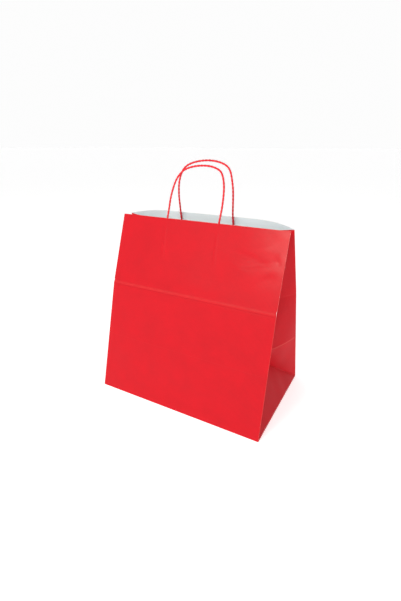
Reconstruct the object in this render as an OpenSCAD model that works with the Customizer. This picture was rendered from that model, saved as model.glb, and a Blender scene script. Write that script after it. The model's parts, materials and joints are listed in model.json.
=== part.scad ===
// Paper gift bag with folded side gussets and two twisted-cord handles.
// The mouth runs along X, the base rests on Z = 0 and the front faces -Y.
// One blank of kraft paper is split at its creases into flat panels, because each
// crease is a living hinge. Joint axes lie on the outer face of the paper.

/* [Bag] */
// Width across the front panel
bag_width = 320; // [300:5:340]
// Depth of the base from front to back
bag_depth = 210; // [205:1:215]
// Length of a front or back panel, from base to mouth
panel_length = 335; // [330:1:340]
// Thickness of the kraft paper
paper = 0.2; // [0.15:0.05:0.25]

/* [Creases] */
// Distance up a panel to the pressed crease that it bends at
crease_length = 204; // [200:1:208]
// Lean of the front panel below its crease, from upright
front_lean_low = 14; // [13.5:0.1:14.5]
// Lean of the front panel above its crease
front_lean_high = 19.3; // [18.8:0.1:19.5]
// Lean of the back panel below its crease
back_lean_low = 14.5; // [14:0.1:15]
// Lean of the back panel above its crease, at its two side edges
back_lean_high = 20.5; // [20:0.1:20.8]
// How much less the middle of the back panel leans, which bows the mouth open
bow_angle = 10.8; // [10:0.1:11.5]
// Half the length of the straight middle of the back panel's mouth edge
mouth_flat = 85; // [85:1:90]

/* [Base] */
// How far the two long base flaps overlap at the middle
flap_overlap = 50; // [40:5:60]
// Width of the glue lap down the side seam
seam_width = 18; // [15:1:22]

/* [Handles] */
// Diameter of the twisted paper cord
cord_diameter = 3.6; // [3:0.2:4]
// Lean of each handle towards the other, from upright
handle_lean = 9.5; // [8:0.1:9.6]
// Height of the swing axis above the mouth, along the panel
swing_rise = 4; // [3.6:0.1:4.4]
// Width of the two strips that hold a handle's ends
strip_width = 148; // [140:2:148]
// Height of the two strips
strip_height = 60; // [55:1:65]
// Distance from the mouth down to the strips
strip_drop = 14; // [10:1:18]

/* [Hidden] */

FRONT = -1;
BACK = 1;
LEFT = -1;
RIGHT = 1;

paper_red = [0.86, 0.10, 0.16];
gusset_red = [0.74, 0.09, 0.13];
cord_red = [0.80, 0.12, 0.18];
kraft_white = [0.90, 0.90, 0.91];

half_width = bag_width / 2;
half_depth = bag_depth / 2;
upper_length = panel_length - crease_length;
flap_length = half_depth + flap_overlap / 2;
cord_radius = cord_diameter / 2;

// clearance between sheets that a crease lets move, and between sheets that don't
crease_gap = 0.3;
sheet_gap = 0.8;
// clearance of a moving gusset sheet from the panel edge that it folds on
fold_gap = 5;
// a moving gusset sheet's clearance from the sheet below it
slope_gap = 1;
// clearance of the bottom triangles, and of the seam's lap, above the folded base
base_gap = 1.6;
// how far the folds and tabs inside the base stay from its edges
edge_gap = 0.6;

// Front handle from end to end: distance along X, then height above the swing axis
front_route = [
    [-64, 0], [-63, 9], [-62, 18], [-61, 29], [-59, 40], [-57, 48], [-54, 57.5], [-50, 66],
    [-45, 73], [-38, 79.5], [-28.5, 84], [-19, 86.5], [-9.5, 88], [0, 88.5], [9, 88.2],
    [18.5, 86.6], [27.5, 83.3], [33.5, 78.8], [37, 72.5], [39.3, 65], [41, 55], [41.5, 43],
    [41.2, 31], [40.5, 20], [39, 8], [38, 0]
];
// Back handle, the same way
back_route = [
    [-61, 0], [-61, 12], [-61, 25], [-60, 37], [-58.3, 48], [-55.8, 56.5], [-51.5, 66.5],
    [-44.5, 76.3], [-35, 83], [-24.5, 87], [-14.5, 89.3], [-5, 90.6], [5, 91.1], [14, 90.7],
    [23, 89.2], [31.5, 86.5], [38, 82.8], [42.3, 78], [44.7, 72], [46, 64], [47, 54],
    [47.5, 43], [47, 31], [46.3, 20], [45.5, 8], [45, 0]
];

// ---- where the paper lies -------------------------------------------------------------

function lean_low(side) = side == FRONT ? front_lean_low : back_lean_low;
// lean of a line from the crease to the mouth at x, with the bow of the back panel
function bow_share(x) = max(0, abs(x) - mouth_flat) / (half_width - mouth_flat);
function lean_high(side, x) = side == FRONT ? front_lean_high
    : back_lean_high - bow_angle * (1 - pow(bow_share(x), 2));
// unit vectors up the paper and into the bag, for a panel with this lean
function up_paper(side, lean) = [0, -side * sin(lean), cos(lean)];
function into_bag(side, lean) = [0, -side * cos(lean), -sin(lean)];
function foot(side, x) = [x, side * half_depth, 0];
function crease(side, x) = foot(side, x) + crease_length * up_paper(side, lean_low(side));

// a point of the lower or upper panel: distance up the paper, then depth into the bag
function low_point(side, x, up, depth) =
    foot(side, x) + up * up_paper(side, lean_low(side)) + depth * into_bag(side, lean_low(side));
function high_point(side, x, up, depth) =
    crease(side, x) + up * up_paper(side, lean_high(side, x))
    + depth * into_bag(side, lean_high(side, x));

// The gusset's bottom triangle leans until it is as far from the panel edges as from its
// own base, which fixes the point where its three creases meet.
mean_lean = (front_lean_low + back_lean_low) / 2;
triangle_lean = acos((1 - sin(mean_lean)) / cos(mean_lean));
function apex(hand) =
    [hand * (half_width - half_depth * sin(triangle_lean)), 0, half_depth * cos(triangle_lean)];

// The centre crease ends at the mouth, half a depth from both mouth corners and a known
// length of paper above the apex: two circles meet there.
function corner(side, hand) = high_point(side, hand * half_width, upper_length, 0);
front_corner = corner(FRONT, RIGHT);
back_corner = corner(BACK, RIGHT);
mouth_mid = (front_corner + back_corner) / 2;
mouth_reach = sqrt(pow(half_depth, 2) - pow((back_corner[1] - front_corner[1]) / 2, 2));
crease_reach = panel_length - half_depth;
to_apex = apex(RIGHT) - [mouth_mid[0], 0, mouth_mid[2]];
apex_distance = norm(to_apex);
along = (pow(mouth_reach, 2) - pow(crease_reach, 2) + pow(apex_distance, 2)) / (2 * apex_distance);
across = sqrt(pow(mouth_reach, 2) - pow(along, 2));
to_apex_unit = to_apex / apex_distance;
function centre_top(hand) = [
    hand * (mouth_mid[0] + along * to_apex_unit[0] + across * to_apex_unit[2]),
    mouth_mid[1],
    mouth_mid[2] + along * to_apex_unit[2] - across * to_apex_unit[0]
];

// ---- building sheets and cords ----------------------------------------------------------

// Skins a row of rings with the same number of points, and closes both ends.
module skin(rings) {
    count = len(rings[0]);
    last = len(rings) - 1;
    sides = [
        for (k = [0 : last - 1], i = [0 : count - 1])
            let (a = k * count + i, b = k * count + (i + 1) % count)
                each [[a, b, b + count], [a, b + count, a + count]]
    ];
    polyhedron(
        points = [for (ring = rings) each ring],
        faces = concat(
            sides,
            [[for (i = [count - 1 : -1 : 0]) i]],
            [[for (i = [0 : count - 1]) last * count + i]]
        )
    );
}

// A strip of a lower panel between two places across it and two heights up it.
module low_sheet(side, from_x, to_x, from_up, to_up, depth) {
    skin(ordered(side, [
        for (x = [from_x, to_x]) [
            low_point(side, x, from_up, depth), low_point(side, x, to_up, depth),
            low_point(side, x, to_up, depth + paper), low_point(side, x, from_up, depth + paper)
        ]
    ]));
}

// A flat strip of an upper panel. Each place across it has its own depth into the bag.
module high_sheet(side, places, depths, from_up, to_up) {
    skin(ordered(side, [
        for (i = [0 : len(places) - 1])
            let (x = places[i], depth = depths[i]) [
                high_point(side, x, from_up, depth), high_point(side, x, to_up, depth),
                high_point(side, x, to_up, depth + paper), high_point(side, x, from_up, depth + paper)
            ]
    ]));
}

// The front is the mirror of the back, so its rings run the other way.
function ordered(side, rings) =
    side == FRONT ? [for (i = [len(rings) - 1 : -1 : 0]) rings[i]] : rings;

// A sheet of flat triangles. Its edge runs clockwise as seen from inside the bag.
module bent_sheet(outer, inner, flats) {
    count = len(outer);
    walls = [
        for (i = [0 : count - 1])
            let (next = (i + 1) % count)
                each [[i, next, next + count], [i, next + count, i + count]]
    ];
    polyhedron(
        points = concat(outer, inner),
        faces = concat(
            [for (flat = flats) [flat[2], flat[1], flat[0]]],
            [for (flat = flats) [for (i = flat) i + count]],
            walls
        )
    );
}

// Height of corner a over the line through b and c.
function height(a, b, c) = norm(cross(b - a, c - a)) / norm(c - b);
// Moves each side of a triangle inwards: gaps[i] is for the side from corner i to the next.
function inset(corners, gaps) = [
    for (i = [0 : 2])
        let (
            a = corners[i], b = corners[(i + 1) % 3], c = corners[(i + 2) % 3],
            to_b = gaps[(i + 2) % 3] / height(b, c, a), to_c = gaps[i] / height(c, a, b)
        )
            a + to_b * (b - a) + to_c * (c - a)
];

// A flat triangle of paper. It grows by one thickness towards the inside of the bag.
module triangle_sheet(corners, gaps, inward) {
    flat = inset(corners, gaps);
    normal = cross(flat[1] - flat[0], flat[2] - flat[0]);
    step = paper * normal / norm(normal) * sign(normal * inward);
    raised = [for (p = flat) p + step];
    skin(normal * inward > 0 ? [flat, raised] : [raised, flat]);
}

// A round cord along a route that lies in one plane through the X axis.
cord_sides = 8;
module cord(route) {
    last = len(route) - 1;
    rings = [
        for (i = [0 : last])
            let (
                step = route[min(i + 1, last)] - route[max(i - 1, 0)],
                ahead = i == 0 || i == last ? [0, i == 0 ? 1 : -1] : step / norm(step),
                beside = [ahead[1], -ahead[0]]
            )
                [for (k = [0 : cord_sides - 1])
                    let (turn = 360 * k / cord_sides)
                        [
                            route[i][0] + cord_radius * cos(turn) * beside[0],
                            cord_radius * sin(turn),
                            route[i][1] + cord_radius * cos(turn) * beside[1]
                        ]]
    ];
    skin(rings);
}

// ---- base ---------------------------------------------------------------------------------

// A long flap: folded in from its panel, with its ends mitred at 45 degrees.
module base_flap(side, layer) {
    color(paper_red)
        translate([0, 0, layer * paper])
            linear_extrude(paper)
                polygon([
                    [-half_width, side * half_depth], [half_width, side * half_depth],
                    [half_width - flap_length, side * (half_depth - flap_length)],
                    [flap_length - half_width, side * (half_depth - flap_length)]
                ]);
}

// The four mitres' second layers, which lie between a flap and a tab.
module base_corner_folds() {
    color(paper_red)
        for (side = [FRONT, BACK], hand = [LEFT, RIGHT])
            translate([0, 0, (side == FRONT ? 2 : 3) * paper])
                linear_extrude(paper)
                    polygon([
                        [hand * (half_width - edge_gap), side * (half_depth - edge_gap)],
                        [hand * (half_width - flap_length), side * (half_depth - edge_gap)],
                        [hand * (half_width - flap_length), side * (half_depth - flap_length)]
                    ]);
}

// An end tab: folded in from its gusset before the long flaps.
module base_tab(hand) {
    reach = flap_length - edge_gap;
    color(gusset_red)
        translate([hand * (half_width - edge_gap - reach / 2), 0, 4.5 * paper])
            cube([reach, bag_depth - 2 * edge_gap, paper], center = true);
}

// ---- panels ---------------------------------------------------------------------------------

// Each lower panel starts above its own flap, which is the base's first or second layer.
module panel_lower(side) {
    start = (side == FRONT ? 1 : 2) * paper + crease_gap / 2;
    color(paper_red)
        low_sheet(side, -half_width, half_width, start, crease_length - crease_gap, 0);
}

module front_panel_upper() {
    color(paper_red)
        high_sheet(FRONT, [-half_width, half_width], [0, 0], crease_gap, upper_length);
}

// The upper back panel is flat in the middle. Beside that it bends as a cone does, in flat
// strips that all start from the end of the crease. The first strip is as wide as the seam.
fan_strips = 4;
fan_width = half_width - mouth_flat;
function fan_place(i) =
    i == 0 ? 0 : seam_width + (fan_width - seam_width) * (i - 1) / (fan_strips - 1);
// where the strips start and end, at a depth into the bag
function fan_start(hand, depth) = crease(BACK, hand * half_width)
    + crease_gap * up_paper(BACK, lean_high(BACK, 0)) + depth * into_bag(BACK, lean_high(BACK, 0));
function fan_end(hand, i, depth) =
    high_point(BACK, hand * (half_width - fan_place(i)), upper_length, depth);

function back_panel_edge(depth) = concat(
    [fan_start(LEFT, depth)], [for (i = [0 : fan_strips]) fan_end(LEFT, i, depth)],
    [for (i = [fan_strips : -1 : 0]) fan_end(RIGHT, i, depth)], [fan_start(RIGHT, depth)]
);
module back_panel_upper() {
    last = 2 * fan_strips + 3;
    middle = fan_strips + 1;
    color(paper_red)
        bent_sheet(back_panel_edge(0), back_panel_edge(paper), concat(
            [for (i = [1 : middle]) [0, i, i + 1]], [[0, middle + 1, last]],
            [for (i = [middle + 1 : last - 2]) [last, i, i + 1]]
        ));
}

// The blank's one glued seam, inside the back panel's left edge.
module side_seam_lap_lower() {
    start = sheet_gap - half_width;
    color(gusset_red)
        low_sheet(BACK, start, start + seam_width, base_gap, crease_length - crease_gap, paper);
}

// The upper lap follows the panel's strips: each one reaches its far edge lower down.
function seam_edge(depth) =
    let (start = fan_start(LEFT, depth))
        concat(
            [start, fan_end(LEFT, 0, depth)],
            [for (i = [1 : fan_strips])
                start + seam_width / fan_place(i) * (fan_end(LEFT, i, depth) - start)],
            [start + [seam_width, 0, 0]]
        );
module side_seam_lap_upper() {
    color(gusset_red)
        bent_sheet(
            seam_edge(paper), seam_edge(2 * paper), [for (i = [1 : fan_strips + 1]) [0, i, i + 1]]
        );
}

// ---- gussets ----------------------------------------------------------------------------------

bag_middle = [0, 0, crease_length / 2];

module gusset_sheet(corners, gaps) {
    color(gusset_red)
        triangle_sheet(corners, gaps, bag_middle - corners[0]);
}

// stands on the base's short side, between the two diagonal creases
module gusset_triangle(hand) {
    gusset_sheet(
        [foot(FRONT, hand * half_width), foot(BACK, hand * half_width), apex(hand)],
        [base_gap, sheet_gap, sheet_gap]
    );
}

// between the panel edge and the diagonal crease
module gusset_lower(side, hand) {
    x = hand * half_width;
    gusset_sheet(
        [foot(side, x), crease(side, x), apex(hand)], [sheet_gap, sheet_gap, sheet_gap]
    );
}

// beside the centre crease, above the apex
module gusset_middle(side, hand) {
    gusset_sheet(
        [crease(side, hand * half_width), centre_top(hand), apex(hand)],
        [sheet_gap, sheet_gap, sheet_gap]
    );
}

// between the moving panel edge and the mouth: it folds on that edge as the mouth opens
module gusset_upper(side, hand) {
    gusset_sheet(
        [crease(side, hand * half_width), corner(side, hand), centre_top(hand)],
        [fold_gap, 0, slope_gap]
    );
}

// ---- handles ------------------------------------------------------------------------------------

function route(side) = side == FRONT ? front_route : back_route;
// where a handle's two ends are, along X
function cord_ends(side) = [route(side)[0][0], route(side)[len(route(side)) - 1][0]];
strip_middle = -11;
strip_top = upper_length - strip_drop;
strip_bottom = strip_top - strip_height;
cord_depth = 2 * paper + cord_radius;

// Places across the cover strip: its ends, and a row of places over each cord.
wrap_reach = 5.4;
wrap_steps = 6;
function wrap_places(x) = [for (i = [-wrap_steps : wrap_steps]) x + wrap_reach * i / wrap_steps];
function cover_places(side) = concat(
    [strip_middle - strip_width / 2], wrap_places(cord_ends(side)[0]),
    wrap_places(cord_ends(side)[1]), [strip_middle + strip_width / 2]
);
// how far the cover strip stands off the backing strip to pass over a cord
wrap_clearance = 0.1;
function wrap(x, end) =
    abs(x - end) >= wrap_reach ? 0
    : (cord_diameter + wrap_clearance) * pow(cos(90 * (x - end) / wrap_reach), 2);
function cover_depth(side, x) = 2 * paper + max([for (end = cord_ends(side)) wrap(x, end)]);

module backing_strip(side) {
    places = [strip_middle - strip_width / 2, strip_middle + strip_width / 2];
    color(kraft_white)
        high_sheet(side, places, [paper, paper], strip_bottom, strip_top);
}

module cover_strip(side) {
    places = cover_places(side);
    color(kraft_white)
        high_sheet(side, places, [for (x = places) cover_depth(side, x)], strip_bottom, strip_top);
}

// The straight ends of a cord, glued between the two strips. They stand so little above
// the mouth that the loop can swing past them.
cord_end_inset = 2;
cord_end_rise = 0.5;
module cord_end_pair(side) {
    start = strip_bottom + cord_end_inset;
    finish = upper_length + cord_end_rise;
    color(cord_red)
        for (x = cord_ends(side))
            translate(high_point(side, x, start, cord_depth))
                rotate([side * lean_high(side, x), 0, 0])
                    cylinder(r = cord_radius, h = finish - start, $fn = 32);
}

// The swing axis passes through both ends of the loop.
function swing_point(side) = high_point(side, cord_ends(side)[1], upper_length + swing_rise, cord_depth);
module handle(side) {
    axis = swing_point(side);
    color(cord_red)
        translate([0, axis[1], axis[2]])
            rotate([side * handle_lean, 0, 0])
                cord(route(side));
}

base_flap(FRONT, 0);  // base_flap_front
base_flap(BACK, 1);  // base_flap_back
base_corner_folds();
base_tab(LEFT);  // base_tab_left
base_tab(RIGHT);  // base_tab_right
panel_lower(FRONT);  // front_panel_lower
panel_lower(BACK);  // back_panel_lower
side_seam_lap_lower();
gusset_triangle(LEFT);  // gusset_triangle_left
gusset_triangle(RIGHT);  // gusset_triangle_right
gusset_lower(FRONT, LEFT);  // gusset_front_left_lower
gusset_lower(FRONT, RIGHT);  // gusset_front_right_lower
gusset_lower(BACK, LEFT);  // gusset_back_left_lower
gusset_lower(BACK, RIGHT);  // gusset_back_right_lower
gusset_middle(FRONT, LEFT);  // gusset_front_left_middle
gusset_middle(FRONT, RIGHT);  // gusset_front_right_middle
gusset_middle(BACK, LEFT);  // gusset_back_left_middle
gusset_middle(BACK, RIGHT);  // gusset_back_right_middle
front_panel_upper();
back_panel_upper();
side_seam_lap_upper();
gusset_upper(FRONT, LEFT);  // gusset_front_left_upper
gusset_upper(FRONT, RIGHT);  // gusset_front_right_upper
gusset_upper(BACK, LEFT);  // gusset_back_left_upper
gusset_upper(BACK, RIGHT);  // gusset_back_right_upper
backing_strip(FRONT);  // front_backing_strip
cover_strip(FRONT);  // front_cover_strip
cord_end_pair(FRONT);  // front_cord_ends
backing_strip(BACK);  // back_backing_strip
cover_strip(BACK);  // back_cover_strip
cord_end_pair(BACK);  // back_cord_ends
handle(FRONT);  // front_handle
handle(BACK);  // back_handle
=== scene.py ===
"""A paper gift bag with folded side gussets, a flat folded base and two twisted cord handles.

The bag is one blank of ribbed kraft paper, printed red outside and bare white inside. Each
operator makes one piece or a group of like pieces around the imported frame, in metres.
"""

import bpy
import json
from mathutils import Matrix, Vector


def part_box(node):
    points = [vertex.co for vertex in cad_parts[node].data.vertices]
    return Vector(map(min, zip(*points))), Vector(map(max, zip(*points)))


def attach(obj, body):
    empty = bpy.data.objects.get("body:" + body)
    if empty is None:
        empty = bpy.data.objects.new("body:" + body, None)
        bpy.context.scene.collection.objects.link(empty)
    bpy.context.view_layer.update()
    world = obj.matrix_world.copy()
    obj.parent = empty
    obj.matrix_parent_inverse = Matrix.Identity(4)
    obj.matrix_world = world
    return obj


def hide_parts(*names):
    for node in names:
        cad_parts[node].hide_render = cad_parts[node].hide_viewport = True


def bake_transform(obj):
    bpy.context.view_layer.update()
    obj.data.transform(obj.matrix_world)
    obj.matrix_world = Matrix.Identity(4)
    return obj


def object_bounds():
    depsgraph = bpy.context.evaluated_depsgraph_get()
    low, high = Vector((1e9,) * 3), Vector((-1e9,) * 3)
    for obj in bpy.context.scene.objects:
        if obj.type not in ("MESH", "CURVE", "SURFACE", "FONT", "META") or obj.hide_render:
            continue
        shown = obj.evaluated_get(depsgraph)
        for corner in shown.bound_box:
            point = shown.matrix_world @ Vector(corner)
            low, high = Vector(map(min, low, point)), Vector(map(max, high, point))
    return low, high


bl_info = {
    "name": "Gift bag",
    "version": (1, 0, 0),
    "blender": (4, 5, 0),
    "location": "3D View > Sidebar > Gift bag",
    "description": "Builds a paper gift bag with folded gussets and twisted cord handles",
    "category": "Add Mesh",
}

import json
import math

import bpy
import numpy as np
from bpy.props import FloatProperty, FloatVectorProperty, IntProperty, PointerProperty
from mathutils import Vector

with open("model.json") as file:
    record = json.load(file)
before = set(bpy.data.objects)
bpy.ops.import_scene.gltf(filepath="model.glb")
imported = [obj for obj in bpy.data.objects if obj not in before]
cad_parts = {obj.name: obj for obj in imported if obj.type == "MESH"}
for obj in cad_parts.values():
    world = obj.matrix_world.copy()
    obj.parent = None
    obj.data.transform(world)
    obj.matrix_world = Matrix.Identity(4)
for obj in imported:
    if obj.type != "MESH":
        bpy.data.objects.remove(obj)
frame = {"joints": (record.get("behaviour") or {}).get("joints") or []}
CAD_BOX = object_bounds()

MM = 0.001
FRONT, BACK = -1, 1
LEFT, RIGHT = -1, 1
SIDE_NAMES = {FRONT: "front", BACK: "back"}
HAND_NAMES = {LEFT: "left", RIGHT: "right"}


# ---- sizes that come from the frame --------------------------------------------------------------


def joint(name):
    return next(j for j in frame["joints"] if j["name"] == name)


def joint_place(name):
    """A joint's place as (y, z)."""
    return np.array(joint(name)["pos_m"][1:], float)


def way_up_edge(side):
    """The way up a panel's side edge above the crease, as (y, z)."""
    axis = np.array(joint(f"gusset_fold_{SIDE_NAMES[side]}_right")["axis"][1:], float)
    return axis * np.sign(axis[1])


HALF_WIDTH = CAD_BOX[1].x
HALF_DEPTH = CAD_BOX[1].y
CREASE = {side: joint_place(f"mouth_{SIDE_NAMES[side]}") for side in (FRONT, BACK)}
SWING = {side: joint_place(f"{SIDE_NAMES[side]}_handle_swing") for side in (FRONT, BACK)}
LOWER = math.hypot(HALF_DEPTH - abs(CREASE[FRONT][0]), CREASE[FRONT][1])
UPPER = (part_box("front_panel_upper")[1].z - CREASE[FRONT][1]) / way_up_edge(FRONT)[1]
PANEL = LOWER + UPPER
LEAN_LOW = {
    side: math.atan2(HALF_DEPTH - abs(CREASE[side][0]), CREASE[side][1]) for side in (FRONT, BACK)
}
LEAN_EDGE = {
    side: math.atan2(abs(way_up_edge(side)[0]), way_up_edge(side)[1]) for side in (FRONT, BACK)
}
LEAN_MIDDLE = {
    FRONT: LEAN_EDGE[FRONT],
    BACK: math.acos((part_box("back_panel_upper")[1].z - CREASE[BACK][1]) / UPPER),
}
STRIP_BOX = {side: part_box(f"{SIDE_NAMES[side]}_backing_strip") for side in (FRONT, BACK)}
FLAP = HALF_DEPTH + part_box("base_flap_front")[1].y


# ---- settings ------------------------------------------------------------------------------------


class GiftBagPaper(bpy.types.PropertyGroup):
    """Sizes of the folded paper"""

    thickness: FloatProperty(
        name="Thickness", description="Thickness of the kraft paper", default=0.2 * MM, unit="LENGTH"
    )
    cell: FloatProperty(
        name="Cell", description="Size of the mesh's cells on the panels", default=2.0 * MM, unit="LENGTH"
    )
    fold_cells: IntProperty(
        name="Fold cells", description="Cells across half a gusset", default=36, min=12
    )
    mouth_flat: FloatProperty(
        name="Flat mouth", description="Half the straight middle of the back mouth edge",
        default=85 * MM, unit="LENGTH",
    )
    crease_softness: FloatProperty(
        name="Crease softness", description="How wide the panels' bend is", default=1.2 * MM, unit="LENGTH"
    )
    wave: FloatProperty(
        name="Waves", description="Height of the soft waves in a panel", default=0.45 * MM, unit="LENGTH"
    )
    gusset_slack: FloatProperty(
        name="Gusset slack", description="How far a gusset's lower fold stands out", default=8 * MM,
        unit="LENGTH",
    )
    shoulder_slack: FloatProperty(
        name="Shoulder slack", description="How far a gusset's upper fold stands out", default=6 * MM,
        unit="LENGTH",
    )


class GiftBagHandles(bpy.types.PropertyGroup):
    """Sizes of the handles and the strips that hold them"""

    cord: FloatProperty(
        name="Cord", description="Diameter of the twisted cord", default=3.6 * MM, unit="LENGTH"
    )
    twist: FloatProperty(
        name="Twist", description="Length of one full turn of the cord", default=13 * MM, unit="LENGTH"
    )
    lean: FloatProperty(
        name="Lean", description="How far a loop leans towards the other", default=math.radians(9.5),
        subtype="ANGLE",
    )
    strip_drop: FloatProperty(
        name="Strip drop", description="Distance from the mouth to the strips", default=14 * MM,
        unit="LENGTH",
    )
    strip_height: FloatProperty(
        name="Strip height", description="Height of the two strips", default=60 * MM, unit="LENGTH"
    )


class GiftBagColours(bpy.types.PropertyGroup):
    """Colours of the bag and its stage"""

    outside: FloatVectorProperty(
        name="Outside", description="Printed colour of the paper's outside", subtype="COLOR",
        default=(0.59, 0.0016, 0.010),
    )
    # Rubbed print along the folds, and painted highlight: this lighter colour also stands in for the light
    # that the folds and the ridge above the crease catch.
    wear_and_highlight: FloatVectorProperty(
        name="Worn", description="Colour of the print where a fold has rubbed it", subtype="COLOR",
        default=(0.74, 0.09, 0.075),
    )
    # Painted shade: a darker red in thin lines just below the creases, where shade falls.
    pressed: FloatVectorProperty(
        name="Pressed", description="Colour of the print in a pressed crease", subtype="COLOR",
        default=(0.45, 0.0, 0.006),
    )
    inside: FloatVectorProperty(
        name="Inside", description="Colour of the bare paper inside", subtype="COLOR",
        default=(0.88, 0.96, 1.0),
    )
    strip: FloatVectorProperty(
        name="Strips", description="Colour of the strips that hold the cords", subtype="COLOR",
        default=(0.90, 0.93, 0.95),
    )
    cord: FloatVectorProperty(
        name="Cord", description="Colour of the handles", subtype="COLOR", default=(0.74, 0.008, 0.022)
    )
    floor: FloatVectorProperty(
        name="Floor", description="Colour of the floor", subtype="COLOR", default=(0.93, 0.93, 0.93)
    )


class GiftBagStage(bpy.types.PropertyGroup):
    """The studio's lights and camera"""

    key: FloatProperty(
        name="Key light", description="Power of the light in front of the bag", default=4.4, unit="POWER"
    )
    glint: FloatProperty(
        name="Glint light", description="Power of the light from the left", default=8.5, unit="POWER"
    )
    top: FloatProperty(
        name="Top light", description="Power of the light over the mouth", default=6.0, unit="POWER"
    )
    horizon: FloatProperty(name="Horizon", description="Light from all round", default=0.98)
    zenith: FloatProperty(name="Zenith", description="Light from high up", default=0.2)
    floor_glow: FloatProperty(name="Floor glow", description="Light from the floor", default=0.56)
    lens: FloatProperty(
        name="Lens", description="The camera's focal length", default=22.80, unit="CAMERA"
    )
    shift: FloatProperty(name="Shift", description="The camera's shift up", default=-0.0412)


# ---- meshes --------------------------------------------------------------------------------------


def add_mesh(name, vertices, faces, flat, slots, materials, sharp=math.radians(30)):
    """A smooth mesh object. flat is each vertex's place in the flat pattern, used as UVs."""
    mesh = bpy.data.meshes.new(name)
    mesh.from_pydata(vertices.tolist(), [], faces)
    mesh.update()
    if mesh.validate():
        raise RuntimeError(f"{name}: the mesh has bad faces")
    corners = np.empty(len(mesh.loops), np.int32)
    mesh.loops.foreach_get("vertex_index", corners)
    mesh.uv_layers.new(name="Flat").data.foreach_set("uv", flat[corners].astype(np.float32).ravel())
    mesh.polygons.foreach_set("material_index", slots)
    for material in materials:
        mesh.materials.append(material)
    mesh.shade_smooth()
    mesh.set_sharp_from_angle(angle=sharp)
    piece = bpy.data.objects.new(name, mesh)
    bpy.context.scene.collection.objects.link(piece)
    return piece


def grid_normals(places):
    """Unit normals of a grid of places, to the side from which its columns run to the right."""
    normals = np.cross(np.gradient(places, axis=1), np.gradient(places, axis=0))
    return normals / np.linalg.norm(normals, axis=-1, keepdims=True)


def grid_faces(rows, columns, split):
    """Quads of a grid, or pairs of triangles where split says which way a cell is cut."""
    corner = np.arange(rows * columns).reshape(rows, columns)
    faces = []
    for r in range(rows - 1):
        for c in range(columns - 1):
            a, b = int(corner[r, c]), int(corner[r, c + 1])
            e, d = int(corner[r + 1, c + 1]), int(corner[r + 1, c])
            cut = 0 if split is None else split[r, c]
            if cut > 0:
                faces += [(a, b, e), (a, e, d)]
            elif cut < 0:
                faces += [(a, b, d), (b, e, d)]
            else:
                faces.append((a, b, e, d))
    rim = np.concatenate(
        [corner[0, :-1], corner[:-1, -1], corner[-1, :0:-1], corner[:0:-1, 0]]
    )
    return faces, [int(i) for i in rim]


def sheet_parts(places, flat, thickness, split=None, bare_mouth=False):
    """Vertices, faces, flat pattern and material slots of a closed sheet on a grid of places.

    The grid is the outer face, in slot 0. The inner face, in slot 1, is a thickness below it.
    The thickness is one number or a grid of them."""
    rows, columns = places.shape[:2]
    inner = places - grid_normals(places) * np.broadcast_to(thickness, (rows, columns))[..., None]
    count = rows * columns
    faces, rim = grid_faces(rows, columns, split)
    below = [tuple(i + count for i in reversed(face)) for face in faces]
    walls, wall_slots = [], []
    for i, start in enumerate(rim):
        end = rim[(i + 1) % len(rim)]
        walls.append((end, start, start + count, end + count))
        on_mouth = min(start, end) >= count - columns
        wall_slots.append(1 if bare_mouth and on_mouth else 0)
    vertices = np.concatenate([places.reshape(-1, 3), inner.reshape(-1, 3)])
    pattern = np.concatenate([flat.reshape(-1, 2)] * 2)
    slots = [0] * len(faces) + [1] * len(below) + wall_slots
    return vertices, faces + below + walls, pattern, slots


def paper_sheet(name, places, flat, materials, thickness, split=None, bare_mouth=False):
    """A closed sheet of paper, with its outer face on a grid of places."""
    return add_mesh(name, *sheet_parts(places, flat, thickness, split, bare_mouth), materials)


def joined_sheets(name, sheets, materials):
    """Several closed sheets as one object."""
    vertices, faces, flat, slots = [], [], [], []
    for part in sheets:
        start = sum(len(v) for v in vertices)
        vertices.append(part[0])
        faces += [tuple(i + start for i in face) for face in part[1]]
        flat.append(part[2])
        slots += part[3]
    return add_mesh(name, np.concatenate(vertices), faces, np.concatenate(flat), slots, materials)


def stand_for(piece, slot, *nodes):
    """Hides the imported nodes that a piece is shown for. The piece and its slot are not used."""
    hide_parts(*nodes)


# ---- where the panels lie ------------------------------------------------------------------------


def up_the_paper(side, lean):
    """The unit vector up a panel that leans inwards by this angle."""
    lean = np.asarray(lean, float)
    return np.stack([np.zeros_like(lean), -side * np.sin(lean), np.cos(lean)], axis=-1)


def lean_above(side, across, rise, paper):
    """The lean above the crease. The back panel's sides bend as cones from the crease's ends."""
    if side == FRONT:
        return np.full_like(rise, LEAN_EDGE[FRONT])
    ray = HALF_WIDTH - (HALF_WIDTH - np.abs(across)) * UPPER / np.maximum(rise, 1e-9)
    share = np.clip((ray - paper.mouth_flat) / (HALF_WIDTH - paper.mouth_flat), 0, 1)
    return LEAN_MIDDLE[BACK] + (LEAN_EDGE[BACK] - LEAN_MIDDLE[BACK]) * share ** 2


def panel_places(side, across, up, paper):
    """Places on a panel's outer face: across along X, and up along the paper from the base."""
    past = up - LOWER
    rise = (past + np.sqrt(past ** 2 + paper.crease_softness ** 2)) / 2
    low = up_the_paper(side, np.full_like(up, LEAN_LOW[side]))
    high = up_the_paper(side, lean_above(side, across, rise, paper))
    foot = np.stack([across, np.full_like(up, side * HALF_DEPTH), np.zeros_like(up)], axis=-1)
    return foot + up[..., None] * low + rise[..., None] * (high - low)


def smooth(value, start, end):
    """A soft step from 0 at start to 1 at end."""
    t = np.clip((value - start) / (end - start), 0, 1)
    return t * t * (3 - 2 * t)


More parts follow.
